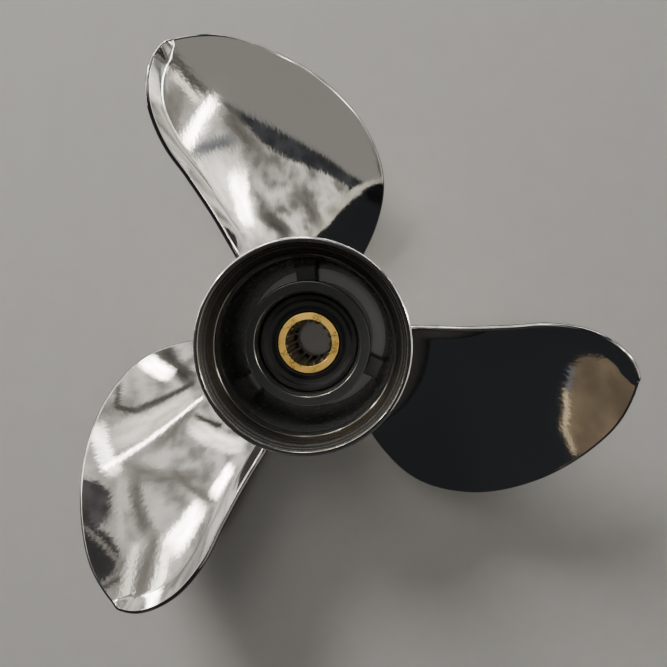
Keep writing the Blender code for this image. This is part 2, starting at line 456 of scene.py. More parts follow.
@dataclass(frozen=True)
class CastPaint:
    """Gloss black paint over a hand-dressed casting."""

    seed: float = 0.0
    girth: float = 110 * MM
    wave_scale: float = 32.0
    wave_depth: float = 0.035 * MM
    brush_scale: float = 750.0
    brush_depth: float = 0.012 * MM
    brush_drift: float = 0.4
    dust_scale: float = 260.0
    dust_roughness: float = 0.05
    dull_radius: float = 48.0 * MM
    dulled: float = 0.22
    roughness: float = 0.045
    refraction: float = 1.65
    colour: Colour = (0.006, 0.006, 0.007)
    # The lighter colour inside the hub is painted light.
    painted_light_inner_colour: Colour = (0.023, 0.024, 0.022)

    def material(self) -> Material:
        """Makes the paint, with soft waves, brush marks round the shaft and dust, and duller in the hub,
        where its lighter colour is painted light.

        Returns:
            The material.
        """
        shader = Shader(f"gloss_black_{self.seed:g}")
        radius, height = shader.along()
        flat = shader.vector("MULTIPLY", shader.place, (1.0, 1.0, 0.0))
        round_shaft = shader.vector("SCALE", shader.vector("NORMALIZE", flat), self.girth)
        drift = radius * self.brush_drift + height * self.brush_drift + self.seed
        spread = shader.vector("ADD", round_shaft, shader.joined(0.0, 0.0, drift))
        normal = shader.relief(shader.noise(shader.place, self.wave_scale, 1.0), self.wave_depth)
        normal = shader.relief(shader.noise(spread, self.brush_scale, 2.0, 0.6), self.brush_depth, normal)
        dust = shader.noise(shader.place, self.dust_scale, 4.0, 0.7).between(0.55, 0.8)
        # Inside the hub the paint turns rougher, and lighter in colour; the lighter colour is painted light.
        inside = 1 - radius.between(self.dull_radius - 1 * MM, self.dull_radius)
        shader.set({"Base Color": shader.tint(inside, self.colour, self.painted_light_inner_colour), "IOR": self.refraction,
                    "Roughness": self.roughness + dust * self.dust_roughness + inside * self.dulled,
                    "Normal": normal})
        return shader.material


@dataclass(frozen=True)
class TurnedPaint:
    """Thin black paint over a lathe-turned surface, glossy outside and on its edges, with lighter turning
    lines that are painted highlights.
    """

    groove: float = 0.8 * MM
    depth: float = 0.03 * MM
    speck_scale: float = 1500.0
    speck_depth: float = 0.004 * MM
    step_radius: float = 47.4 * MM
    lip_radius: float = 52.0 * MM
    lean: float = 0.24
    outside_radius: float = 24.9 * MM
    step_coat: float = 0.4
    roughness: float = 0.33
    sheen: float = 0.12
    refraction: float = 1.5
    coat_refraction: float = 1.65
    coat_roughness: float = 0.06
    colour: Colour = (0.001, 0.001, 0.001)
    # The colour of the painted highlights along the turning lines.
    painted_ring_highlight: Colour = (0.1, 0.1, 0.09)

    def material(self) -> Material:
        """Makes the turned finish, with painted highlights along its turning lines.

        Returns:
            The material.
        """
        shader = Shader("turned_black")
        radius, height = shader.along()
        rings = shader.noise(shader.joined(radius, 0.0, height), 1 / self.groove, 2.0, 0.6)
        specks = shader.noise(shader.place, self.speck_scale, 2.0, 0.7)
        normal = shader.relief(specks, self.speck_depth, shader.relief(rings, self.depth))
        # Thin lighter lines along the turning rings: painted highlights.
        shade = rings.between(0.54, 0.61) * (0.4 + specks.between(0.45, 0.65))
        step = radius.between(self.step_radius, self.step_radius + 0.3 * MM)
        lip = radius.between(self.lip_radius, self.lip_radius + 0.4 * MM)
        # The ring's outside is the only part that stays beyond this leaning line.
        outside = (radius - height * self.lean).between(self.outside_radius, self.outside_radius + 0.4 * MM)
        shader.set({"Base Color": shader.tint(shade, self.colour, self.painted_ring_highlight), "IOR": self.refraction,
                    "Roughness": self.roughness + specks * 0.2, "Specular IOR Level": self.sheen,
                    "Coat IOR": self.coat_refraction, "Coat Roughness": self.coat_roughness,
                    "Coat Weight": self.step_coat - self.step_coat * step + lip + outside, "Normal": normal})
        return shader.material


@dataclass(frozen=True)
class BushRubber:
    """Dark moulded rubber."""

    colour: Colour = (0.004, 0.004, 0.0045)
    bloomed: Colour = (0.009, 0.009, 0.009)
    grain_scale: float = 1400.0
    grain_depth: float = 0.02 * MM
    bloom_scale: float = 90.0
    roughness: float = 0.45
    sheen: float = 0.16

    def material(self) -> Material:
        """Makes the rubber.

        Returns:
            The material.
        """
        shader = Shader("bush_rubber")
        grain = shader.noise(shader.place, self.grain_scale, 3.0, 0.6)
        bloom = shader.noise(shader.place, self.bloom_scale, 3.0, 0.6).between(0.4, 0.75)
        shader.set({"Base Color": shader.tint(bloom, self.colour, self.bloomed),
                    "Specular IOR Level": self.sheen, "Roughness": self.roughness + bloom * 0.2,
                    "Normal": shader.relief(grain, self.grain_depth)})
        return shader.material


@dataclass(frozen=True)
class SleeveBrass:
    """Turned brass, a little dulled, and darker and greyer in the bore, which is painted shade."""

    bright: Colour = (1.0, 0.64, 0.16)
    dull: Colour = (0.8, 0.5, 0.11)
    # The bore's darker, greyer colour is painted shade.
    bore: Colour = (0.3, 0.23, 0.13)
    bore_radius: float = 13.0 * MM
    ring_scale: float = 2600.0
    ring_depth: float = 0.008 * MM
    stain_scale: float = 160.0
    roughness: float = 0.26

    def material(self) -> Material:
        """Makes the brass.

        Returns:
            The material.
        """
        shader = Shader("sleeve_brass")
        radius, height = shader.along()
        # In the bore the colour turns darker and greyer: painted shade.
        inside = 1 - radius.between(self.bore_radius, self.bore_radius + 0.3 * MM)
        rings = shader.noise(shader.joined(radius, 0.0, height), self.ring_scale, 2.0, 0.6)
        stain = shader.noise(shader.place, self.stain_scale, 4.0, 0.65).between(0.35, 0.75)
        face = shader.tint(stain, self.bright, self.dull)
        shader.set({"Metallic": 1.0, "Base Color": shader.tint(inside, face, self.bore),
                    "Roughness": self.roughness + stain * 0.16,
                    "Normal": shader.relief(rings, self.ring_depth)})
        return shader.material


def dress(piece: Piece, finish: Material, slot: Slot, *nodes: str) -> None:
    """Gives a piece its finish and says what it stands for.

    Args:
        piece: The piece.
        finish: Its material.
        slot: The record's slot of that material; not used.
        nodes: The CAD nodes that it replaces.
    """
    piece.data.materials.append(finish)
    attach(piece, BODY)
    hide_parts(*nodes)
    LOG.info("%s stands for %s with %d faces", piece.name, ", ".join(nodes), len(piece.data.polygons))


@dataclass
class Hub:
    """The turned parts of the casting: outer barrel, flared ring and inner hub."""

    front_radius: float = 51.4 * MM
    root_radius: float = 52.0 * MM
    waist_radius: float = 50.6 * MM
    bore_front: float = 45.4 * MM
    bore_aft: float = 46.2 * MM
    foot_chamfer: float = 0.8 * MM
    flare_start: float = 97.0 * MM
    flare_radius: float = 55.0 * MM
    bell_outside: float = 1.7
    bell_inside: float = 1.8
    length: float = 119.0 * MM
    step_height: float = 106.0 * MM
    step_radius: float = 47.4 * MM
    nick: float = 0.12 * MM
    lip: float = 2.4 * MM
    inner_radius: float = 34.5 * MM
    inner_root: float = 37.0 * MM
    inner_front: float = 5.0 * MM
    inner_aft: float = 85.5 * MM
    inner_lip: float = 29.2 * MM
    inner_bore: float = 27.6 * MM
    segments: int = 288

    def radius_at(self, height: Numbers) -> Numbers:
        """Returns the barrel's outer radius at a height."""
        front = mix(self.front_radius, self.root_radius, ease(height / (12 * MM)))
        return mix(front, self.waist_radius, ease((height - 45 * MM) / (45 * MM)))

    def inner_at(self, height: Rows) -> Rows:
        """Returns the inner hub's outer radius at some heights."""
        along = (height - self.inner_front) / (self.inner_aft - self.inner_front)
        return mix(self.inner_root, self.inner_radius, along)

    def barrel_profile(self) -> Profile:
        """Makes the barrel's closed profile: rounded foot, waisted outside and tapered bore.

        Returns:
            The profile's points.
        """
        foot_top = self.foot_chamfer
        heights = (*np.linspace(foot_top, 14 * MM, 12), *np.linspace(18 * MM, self.flare_start, 36))
        outside = [(float(self.radius_at(height)), float(height)) for height in heights]
        front = rounded([(self.front_radius - 0.9 * MM, 0.0, 0.4 * MM), (self.front_radius, foot_top, 0.0),
                         (self.bore_front, foot_top, 0.0), (self.bore_front + foot_top, 0.0, 0.4 * MM)])
        foot = [point for point in front if point[1] < foot_top - 0.05 * MM]
        inside = [(self.bore_aft, self.flare_start), (self.bore_aft - 0.2 * MM, 80 * MM),
                  (self.bore_front + 0.1 * MM, 60 * MM), (self.bore_front, 50 * MM),
                  (self.bore_front, foot_top)]
        split = len(foot) // 2
        return foot[:split] + outside + inside + foot[split:]

    def flare_profile(self) -> Profile:
        """Makes the flared ring's closed profile: bell outside, rounded lip, turned bell inside and step.

        Returns:
            The profile's points.
        """
        top, shoulder, mouth = self.length, self.length - 1.3 * MM, self.length - 0.9 * MM
        start = self.flare_radius - self.lip - 0.2 * MM
        grown = self.flare_radius - self.waist_radius
        outside = [(self.waist_radius + grown * step ** self.bell_outside,
                    mix(self.flare_start, shoulder, step)) for step in np.linspace(0, 1, 25)]
        lip = rounded([(self.flare_radius, shoulder, 0.0), (self.flare_radius, top, 1.1 * MM),
                       (self.flare_radius - self.lip, top, 0.5 * MM), (start, mouth, 0.0)], 6)[1:]
        cone = []
        for step in (*np.linspace(0.04, 0.495, 12), *np.linspace(0.505, 0.97, 12)):
            radius = mix(self.step_radius, start, (1 - step) ** self.bell_inside)
            # The lathe left a low step half way down.
            radius -= self.nick if step > 0.5 else 0.0
            cone.append((radius, mouth - (mouth - self.step_height) * step))
        ledge = rounded([(self.step_radius, self.step_height, 0.1 * MM),
                         (self.step_radius - 0.6 * MM, self.step_height - 0.35 * MM, 0.1 * MM),
                         (self.bore_aft, self.flare_start, 0.0)])
        return outside + lip + cone + ledge

    def inner_profile(self) -> Profile:
        """Makes the inner hub's closed profile, with its chamfered mouth.

        Returns:
            The profile's points.
        """
        front, aft, bore = self.inner_front, self.inner_aft, self.inner_bore
        return rounded([(self.inner_root, front, 0.8 * MM), (self.inner_radius, aft, 0.9 * MM),
                        (self.inner_lip, aft, 0.7 * MM), (bore + 0.5 * MM, aft - 1.5 * MM, 0.3 * MM),
                        (bore, aft - 6 * MM, 0.0), (bore, front, 0.6 * MM)])

    def build(self, paint: Material, turned: Material,
              smooth: Material) -> None:
        """Builds and dresses the three turned parts.

        Args:
            paint: The gloss paint.
            turned: The turned finish of the flare.
            smooth: The paint of the inner hub, over a turned casting.
        """
        parts = (("barrel_casting", self.barrel_profile(), paint, Slot.PAINT, "outer_barrel"),
                 ("flared_ring", self.flare_profile(), turned, Slot.TURNED, "diffuser_ring"),
                 ("inner_hub_casting", self.inner_profile(), smooth, Slot.PAINT, "inner_hub"))
        for name, profile, finish, slot, node in parts:
            piece = Mesher.turned(name, lambda angle: profile, even_angles(self.segments))
            dress(piece, finish, slot, node)


@dataclass
class Ribs:
    """The ribs between the inner hub and the barrel, with fillets at both walls."""

    hub: Hub
    count: int = 3
    angle: float = math.radians(96.0)
    width: float = 11.6 * MM
    front: float = 8.0 * MM
    aft: float = 41.8 * MM
    fillet: float = 1.5 * MM
    fillet_steps: int = 8
    buried: float = 1.0 * MM
    corner: float = 0.7 * MM
    corner_growth: float = 0.3

    def section(self, wall: Callable[[Rows], Numbers], rise: float, grown: float) -> Rows:
        """Returns a rounded rectangle round the rib.

        Args:
            wall: Gives the radius of the wall that it stands on at some heights.
            rise: Its distance from that wall.
            grown: How far the fillet widens it there.

        Returns:
            Points in the rib's own frame: outward, across and along the shaft.
        """
        across, low, high = self.width / 2 + grown, self.front - grown, self.aft + grown
        corner = self.corner + grown * self.corner_growth
        flat = np.array(rounded([(-across, low, corner), (across, low, corner), (across, high, corner),
                                 (-across, high, corner)], 6))
        radius = wall(flat[:, 1]) + rise
        outward = np.sqrt(np.maximum(radius ** 2 - flat[:, 0] ** 2, 0))
        return np.stack([outward, flat[:, 0], flat[:, 1]], -1)

    def build(self, paint: Material) -> None:
        """Builds and dresses the ribs.

        Args:
            paint: The gloss paint.
        """
        inner, outer = self.hub.inner_at, lambda height: self.hub.bore_front
        steps = list(zip(*quarter_round(self.fillet, self.fillet_steps)))
        rows = [self.section(inner, -self.buried, self.fillet)]
        rows += [self.section(inner, rise, grown) for rise, grown in steps]
        rows += [self.section(outer, -rise, grown) for rise, grown in reversed(steps)]
        rows += [self.section(outer, self.buried, self.fillet)]
        # Each loop starts half way round a corner, so that the lattice of the end caps is even.
        rows = np.roll(np.array(rows), 3, axis=1)
        for number, turn in enumerate(even_angles(self.count), 1):
            rib = Mesher.lofted(f"rib_casting_{number}", spun(rows, self.angle + turn))
            dress(rib, paint, Slot.PAINT, f"rib_{number}")


@dataclass
class Bush:
    """The rubber bush and the splined brass sleeve inside it."""

    radius: float = 27.3 * MM
    front: float = 9.0 * MM
    aft: float = 75.4 * MM
    dish: float = 1.6 * MM
    sleeve_radius: float = 17.0 * MM
    sleeve_front: float = 4.0 * MM
    sleeve_aft: float = 76.5 * MM
    tooth_count: int = 15
    tooth_phase: float = math.radians(20.1)
    tooth_tip: float = 11.3 * MM
    tooth_root: float = 12.9 * MM
    tooth_front: float = 22.0 * MM
    tooth_chamfer: float = 1.6 * MM
    crest: float = 0.09
    flank: float = 0.25
    segments: int = 240
    flank_steps: int = 24

    def rubber_profile(self) -> Profile:
        """Makes the bush's closed profile, with the shallow dish in its aft face.

        Returns:
            The profile's points.
        """
        inside = self.sleeve_radius + 0.05 * MM
        middle, lip, low = (inside + self.radius) / 2, self.aft - 0.2 * MM, self.aft - self.dish
        return rounded([(self.radius, self.front, 0.5 * MM), (self.radius, self.aft, 0.7 * MM),
                        (middle + 2.6 * MM, self.aft, 0.5 * MM), (middle + MM, low, 0.5 * MM),
                        (middle - 1.2 * MM, low, 0.5 * MM), (inside + 1.4 * MM, lip, 0.4 * MM),
                        (inside, lip, 0.0), (inside, self.front, 0.0)])

    def tooth_height(self, angle: float) -> float:
        """Returns how much of a tooth stands at an angle: 1 on a crest and 0 in a gap."""
        turn = (angle - self.tooth_phase) * self.tooth_count / (2 * math.pi)
        return float(1 - ease((abs(turn - round(turn)) - self.crest) / self.flank))

    def sleeve_profile(self, angle: float) -> Profile:
        """Returns the sleeve's profile at an angle.

        Args:
            angle: Polar angle about the shaft.

        Returns:
            The closed profile, with chamfered tooth ends and the plain bore at the front.
        """
        bore = mix(self.tooth_root, self.tooth_tip, self.tooth_height(angle))
        mouth = self.tooth_root + 0.25 * MM
        plain = self.tooth_tip - 0.1 * MM
        aft, front = self.sleeve_aft, self.sleeve_front
        edge = rounded([(self.sleeve_radius, front, 0.4 * MM), (self.sleeve_radius, aft, 0.35 * MM),
                        (mouth, aft, 0.15 * MM), (mouth - 0.2 * MM, aft - 0.3 * MM, 0.0)], 4)
        slope = [(mix(mouth - 0.2 * MM, bore, step), aft - 0.3 * MM - self.tooth_chamfer * step)
                 for step in (0.35, 0.7, 0.92, 1.0)]
        wall = [(bore, aft - 3 * MM), (bore, self.tooth_front + 2 * MM), (bore, self.tooth_front)]
        deep = [(plain, self.tooth_front - self.tooth_chamfer), (plain, front + 4.6 * MM),
                (plain + 1.9 * MM, front)]
        return edge + slope + wall + deep

    def build(self, rubber: Material, brass: Material) -> None:
        """Builds and dresses the bush and the sleeve.

        Args:
            rubber: The rubber.
            brass: The brass.
        """
        profile = self.rubber_profile()
        bush = Mesher.turned("bush_rubber_ring", lambda angle: profile, even_angles(self.segments))
        dress(bush, rubber, Slot.RUBBER, "rubber_bush")
        angles = [self.tooth_phase + angle for angle in even_angles(self.tooth_count * self.flank_steps)]
        sleeve = Mesher.turned("sleeve_splined", self.sleeve_profile, angles)
        dress(sleeve, brass, Slot.BRASS, "splined_sleeve")


@dataclass
class Blades:
    """The cupped blades, each with a fillet where it grows out of the barrel."""

    hub: Hub
    count: int = 3
    tip_radius: float = 172.0 * MM
    pitch: float = 396.0 * MM
    rake: float = math.radians(16.4)
    leading: SmoothCurve = SmoothCurve((0.0, 0.15, 0.3, 0.45, 0.6, 0.75, 0.9, 1.0),
                                       (58.9, 60.7, 65.7, 75.8, 87.9, 98.9, 107.3, 114.0))
    trailing: SmoothCurve = SmoothCurve((0.0, 0.15, 0.3, 0.4, 0.5, 0.6, 0.8, 0.9, 1.0),
                                        (129.2, 126.1, 125.2, 125.2, 124.2, 122.5, 117.9, 115.5, 114.0))
    trailing_root_height: float = 86.4 * MM
    root_thickness: float = 10.5 * MM
    tip_thickness: float = 2.8 * MM
    leading_edge: float = 3.0 * MM
    trailing_edge: float = 3.4 * MM
    fullness: float = 0.8
    cup_width: SmoothCurve = SmoothCurve((0.0, 0.5, 1.0), (6.0 * MM, 6.6 * MM, 8.6 * MM))
    cup_rise: float = 1.3 * MM
    cup_power: float = 1.3
    cup_start: float = 0.03
    cup_growth: float = 12.0
    cup_end: float = math.radians(111.8)
    cup_taper: float = 12.0 * MM
    fillet: float = 6.0 * MM
    fillet_steps: int = 12
    fillet_depth: float = 1.5 * MM
    first_gap: float = 0.4 * MM
    span_rows: int = 120
    chord_points: int = 72
    chord_easing: float = 0.75
    edge_points: int = 9
    inset: float = 0.05 * MM
    weld: float = 0.02 * MM

    def height(self, radius: Rows, angle: Rows) -> Rows:
        """Returns the height of the aft face, a raked screw surface."""
        turned = self.pitch * (angle - math.radians(self.trailing.values[0])) / (2 * math.pi)
        return self.trailing_root_height + turned + math.tan(self.rake) * (radius - self.hub.root_radius)

    def normals(self, radius: Rows, angle: Rows) -> Rows:
        """Finds the aft face's unit normals.

        Args:
            radius: Distances from the axis.
            angle: Polar angles.

        Returns:
            The normals.
        """
        slope, lead = math.tan(self.rake), self.pitch / (2 * math.pi) / radius
        cosine, sine, up = np.cos(angle), np.sin(angle), np.ones_like(angle)
        found = np.stack([-slope * cosine + lead * sine, -slope * sine - lead * cosine, up], -1)
        return found / np.linalg.norm(found, axis=-1, keepdims=True)

    def point(self, radius: Rows, angle: Rows) -> Rows:
        """Returns the points of the aft face at some radii and polar angles."""
        return around(radius, angle, self.height(radius, angle))

    def edge(self, radius: Rows, station: Rows, side: float) -> tuple[Rows, Rows]:
        """Returns an edge of the aft face, moved in so that the rounding reaches the blade's outline.

        Args:
            radius: Distances of the outline from the axis.
            station: Places along the blade, 0 at the root and 1 at the tip.
            side: 1 for the trailing edge and -1 for the leading edge.

        Returns:
            The radii and polar angles of the face's edge.
        """
        angle = np.radians((self.trailing if side > 0 else self.leading).at(station))
        outline = self.point(radius, angle)
        half = self.thickness(np.full_like(station, max(side, 0.0)), station) / 2
        out = self.outward(outline, self.normals(radius, angle), side)
        moved = outline - out * (self.inset + half)[:, None]
        return np.hypot(moved[:, 0], moved[:, 1]), np.arctan2(moved[:, 1], moved[:, 0])

    def thickness(self, chord: Rows, station: Rows) -> Rows:
        """Finds the section's thickness: thin edges and a full middle.

        Args:
            chord: Places across the blade, 0 at the leading edge and 1 at the trailing edge.
            station: Places along the blade.

        Returns:
            The thickness there.
        """
        thickest = mix(self.root_thickness, self.tip_thickness, np.clip(station, 0, 1) ** self.fullness)
        edge = mix(self.leading_edge, self.trailing_edge, chord)
        edge = mix(edge, self.tip_thickness, np.clip(station * 2 - 1, 0, 1))
        return edge + np.maximum(thickest - edge, 0) * (4 * chord * (1 - chord)) ** self.fullness

    def rows(self, radius: Rows, station: Rows) -> Rows:
        """Makes closed sections of the blade.

        Args:
            radius: Distance of each section from the axis.
            station: Place of each section along the blade.

        Returns:
            Sections by points by 3: along the aft face, round the trailing edge, back along the front
            face and round the leading edge.
        """
        lead_radius, lead = self.edge(radius, station, -1.0)
        trail_radius, trail = self.edge(radius, station, 1.0)
        spread = np.linspace(0, 1, self.chord_points)
        chord = mix(spread, ease(spread), self.chord_easing)[None, :]
        station = station[:, None]
        angle = mix(lead[:, None], trail[:, None], chord)
        across = mix(lead_radius[:, None], trail_radius[:, None], chord)
        normal, flat = self.normals(across, angle), self.point(across, angle)
        face = flat + np.array([0, 0, 1.0]) * self.cup(flat, angle, station)[..., None]
        thick = self.thickness(chord, station)[..., None]
        back = face - normal * thick
        turn = np.linspace(0, math.pi, self.edge_points + 2)[1:-1]
        ends = []
        for column, towards in ((-1, 1.0), (0, -1.0)):
            centre = (face[:, column] + back[:, column]) / 2
            out = self.outward(face[:, column], normal[:, column], towards)
            side = np.cos(turn)[None, :, None] * towards
            arm = normal[:, column][:, None] * side + out[:, None] * np.sin(turn)[None, :, None]
            ends.append(centre[:, None] + arm * (thick[:, column] / 2)[:, None])
        return np.concatenate([face, ends[0], back[:, ::-1], ends[1]], axis=1)

    @staticmethod
    def outward(edge: Rows, normal: Rows, towards: float) -> Rows:
        """Finds the directions out of the blade, square to its edge and its face.

        Args:
            edge: Points along the edge.
            normal: The face's normals there.
            towards: 1 at the trailing edge and -1 at the leading edge.

        Returns:
            Unit vectors.
        """
        along = np.gradient(edge, axis=0)
        along /= np.maximum(np.linalg.norm(along, axis=-1, keepdims=True), 1e-12)
        out = np.cross(normal, along) * towards
        return out / np.maximum(np.linalg.norm(out, axis=-1, keepdims=True), 1e-12)

    def cup(self, flat: Rows, angle: Rows, station: Rows) -> Rows:
        """Finds how far the cupped band along the trailing edge curls aft.

        Args:
            flat: Sections of the uncupped face, each ending at the trailing edge.
            angle: Polar angles of its points.
            station: Place of each section along the blade.

        Returns:
            The rise of each point.
        """
        start, run = flat[:-1, -1], np.diff(flat[:, -1], axis=0)
        away = flat[:, :, None] - start
        part = np.clip((away * run).sum(-1) / np.maximum((run * run).sum(-1), 1e-15), 0, 1)
        gap = np.linalg.norm(away - part[..., None] * run, axis=-1).min(-1)
        taper = np.maximum(ease((angle - self.cup_end) * self.tip_radius / self.cup_taper), 1e-3)
        width = self.cup_width.at(station[:, 0])[:, None] * taper
        curl = np.clip(1 - gap / width, 0, 1) ** self.cup_power
        return self.cup_rise * taper * curl * ease((station - self.cup_start) * self.cup_growth)

    def rooted(self) -> Rows:
        """Makes the rows of the fillet, from inside the barrel's wall up to the plain blade.

        Returns:
            Closed loops that lie round the barrel at growing distances from it.
        """
        rise, grown = quarter_round(self.fillet, self.fillet_steps)
        root = self.hub.root_radius
        base = self.rows(root + rise, self.station_of(root + rise))
        made = []
        for loop, up, out in zip([base[0], *base], [-self.fillet_depth, *rise], [self.fillet, *grown]):
            flat = np.stack([np.arctan2(loop[:, 1], loop[:, 0]) * root, loop[:, 2]], -1)
            along = np.roll(flat, -1, 0) - np.roll(flat, 1, 0)
            side = np.stack([along[:, 1], -along[:, 0]], -1)
            side /= np.linalg.norm(side, axis=1, keepdims=True)
            area = np.sum(flat[:, 0] * np.roll(flat[:, 1], -1) - np.roll(flat[:, 0], -1) * flat[:, 1])
            flat = flat + side * out * math.copysign(1.0, area)
            made.append(around(self.hub.radius_at(flat[:, 1]) + up, flat[:, 0] / root, flat[:, 1]))
        return np.array(made)

    def station_of(self, radius: Rows) -> Rows:
        """Returns the place along the blade of a radius."""
        part = (radius - self.hub.root_radius) / (self.tip_radius - self.hub.root_radius)
        return np.arcsin(np.clip(part, 0, 1)) * 2 / math.pi

    def build(self) -> None:
        """Builds and dresses the blades, each with its own paint."""
        root = self.hub.root_radius
        first = float(self.station_of(np.array(root + self.fillet + self.first_gap)))
        station = np.linspace(first, 1.0, self.span_rows)
        radius = root + (self.tip_radius - root) * np.sin(station * math.pi / 2)
        rows = np.concatenate([self.rooted(), self.rows(radius, station)])
        # Each loop starts half way round the leading edge, so that the lattice of the end caps is even.
        rows = np.roll(rows, self.edge_points // 2, axis=1)
        for number, turn in enumerate(even_angles(self.count), 1):
            blade = Mesher.lofted(f"blade_casting_{number}", spun(rows, turn), self.weld)
            dress(blade, CastPaint(seed=float(number)).material(), Slot.PAINT, f"blade_{number}")


def hang(name: str, corners: Sequence[Direction], glow: Material,
         onto: Callable[[Vector], Vector]) -> Piece:
    """Hangs a card that bows round the propeller and shows only in glossy faces.

    Args:
        name: The card's name.
        corners: Its corners, flat.
        glow: Its material.
        onto: Moves a flat point to its place on the card.

    Returns:
        The card.
    """
    cells = bmesh.new()
    points = [cells.verts.new((*corner, 0.0)) for corner in corners]
    for triangle in tessellate_polygon([corners]):
        cells.faces.new([points[index] for index in triangle])
    bmesh.ops.subdivide_edges(cells, edges=cells.edges[:], cuts=7, use_grid_fill=True)
    for vertex in cells.verts:
        vertex.co = onto(vertex.co)
    mesh = bpy.data.meshes.new(name)
    cells.to_mesh(mesh)
    cells.free()
    mesh.materials.append(glow)
    card = add_object(name, mesh)
    card.visible_camera = card.visible_diffuse = card.visible_shadow = False
    return card


@dataclass(frozen=True)
class Panel:
    """A glowing card of the studio, placed by the directions of its corners as the propeller sees them."""

    name: str
    corners: tuple[Direction, ...]
    glow: float
    tint: Colour = (1.0, 0.96, 0.9)
    dim: float = 1.0
    patch: float = 0.3
    near: float = 0.0

    def material(self) -> Material:
        """Makes the card's glow, with dimmer patches where dim is under 1.

        Returns:
            The material.
        """
        shader = Shader(self.name)
        bright = shader.noise(shader.place, 1 / self.patch, 5.0, 0.6).between(0.36, 0.66)
        shader.glow(self.glow, bright, self.tint, self.dim)
        return shader.material

    def build(self, reach: float) -> None:
        """Hangs the card at a distance from the propeller."""
        hang(self.name, self.corners, self.material(), lambda flat: aim(flat.x, flat.y) * (reach - self.near))


@dataclass(frozen=True)
class Spot:
    """A card with soft edges, stretched between two directions as the propeller sees them."""

    name: str
    start: Direction
    end: Direction
    width: float
    glow: float
    tint: Colour = (1.0, 0.93, 0.8)
    dim: float = 0.55
    softness: float = 1.3
    ragged_ends: float = 0.3
    ragged_sides: float = 0.7

    def material(self) -> Material:
        """Makes the glow, which fades out towards the card's edges.

        Returns:
            The material.
        """
        shader = Shader(self.name)
        x, y = shader.split()[:2]
        ragged = shader.noise(shader.place, 2.5, 4.0, 0.65) - 0.5
        x, y = x + ragged * self.ragged_ends, y + ragged * self.ragged_sides
        bright = shader.noise(shader.place, 1.6, 4.0, 0.65).between(0.36, 0.6)
        shader.glow(self.glow, bright, self.tint, self.dim)
        run = (aim(*self.end) - aim(*self.start)).length / 2
        hold = max(2 * run / (run + self.half()) - 1, 0.0)
        solid = (1 - (x * x).between(hold ** 2, 1.0)) * (1 - (y * y).between(0.03, 0.75))
        shader.set({"Alpha": solid})
        return shader.material

    def half(self) -> float:
        """Returns half the card's width, with its soft edges, at a reach of 1."""
        return math.radians(self.width) * self.softness

    def build(self, reach: float) -> None:
        """Hangs the card.

        Args:
            reach: Its distance from the propeller.
        """
        start, end = aim(*self.start), aim(*self.end)
        middle, run, half = (start + end).normalized(), end - start, self.half()
        along, across = run.normalized(), middle.cross(run.normalized())
        sides = zip(along * reach * (run.length / 2 + half), across * reach * half, middle)
        place = Matrix.Translation(middle * reach) @ Matrix([list(side) for side in sides]).to_4x4()
        back = place.inverted()
        card = hang(self.name, [(-1, -1), (1, -1), (1, 1), (-1, 1)], self.material(),
                    lambda flat: back @ ((place @ flat).normalized() * reach))
        card.matrix_world = place


@dataclass(frozen=True)
class Softbox:
    """A square area light that faces the propeller, which glossy faces may mirror or not."""

    name: str
    azimuth: float
    elevation: float
    size: float
    power: float
    mirrored: bool = False

    def build(self, reach: float) -> None:
        """Hangs the light.

        Args:
            reach: Its distance from the propeller.
        """
        data = bpy.data.lights.new(self.name, "AREA")
        data.size = self.size
        data.energy = self.power
        light = add_object(self.name, data)
        towards = aim(self.azimuth, self.elevation)
        light.location = towards * reach
        light.rotation_mode = "QUATERNION"
        light.rotation_quaternion = towards.to_track_quat("Z", "Y")
        light.visible_camera = False
        light.visible_glossy = self.mirrored


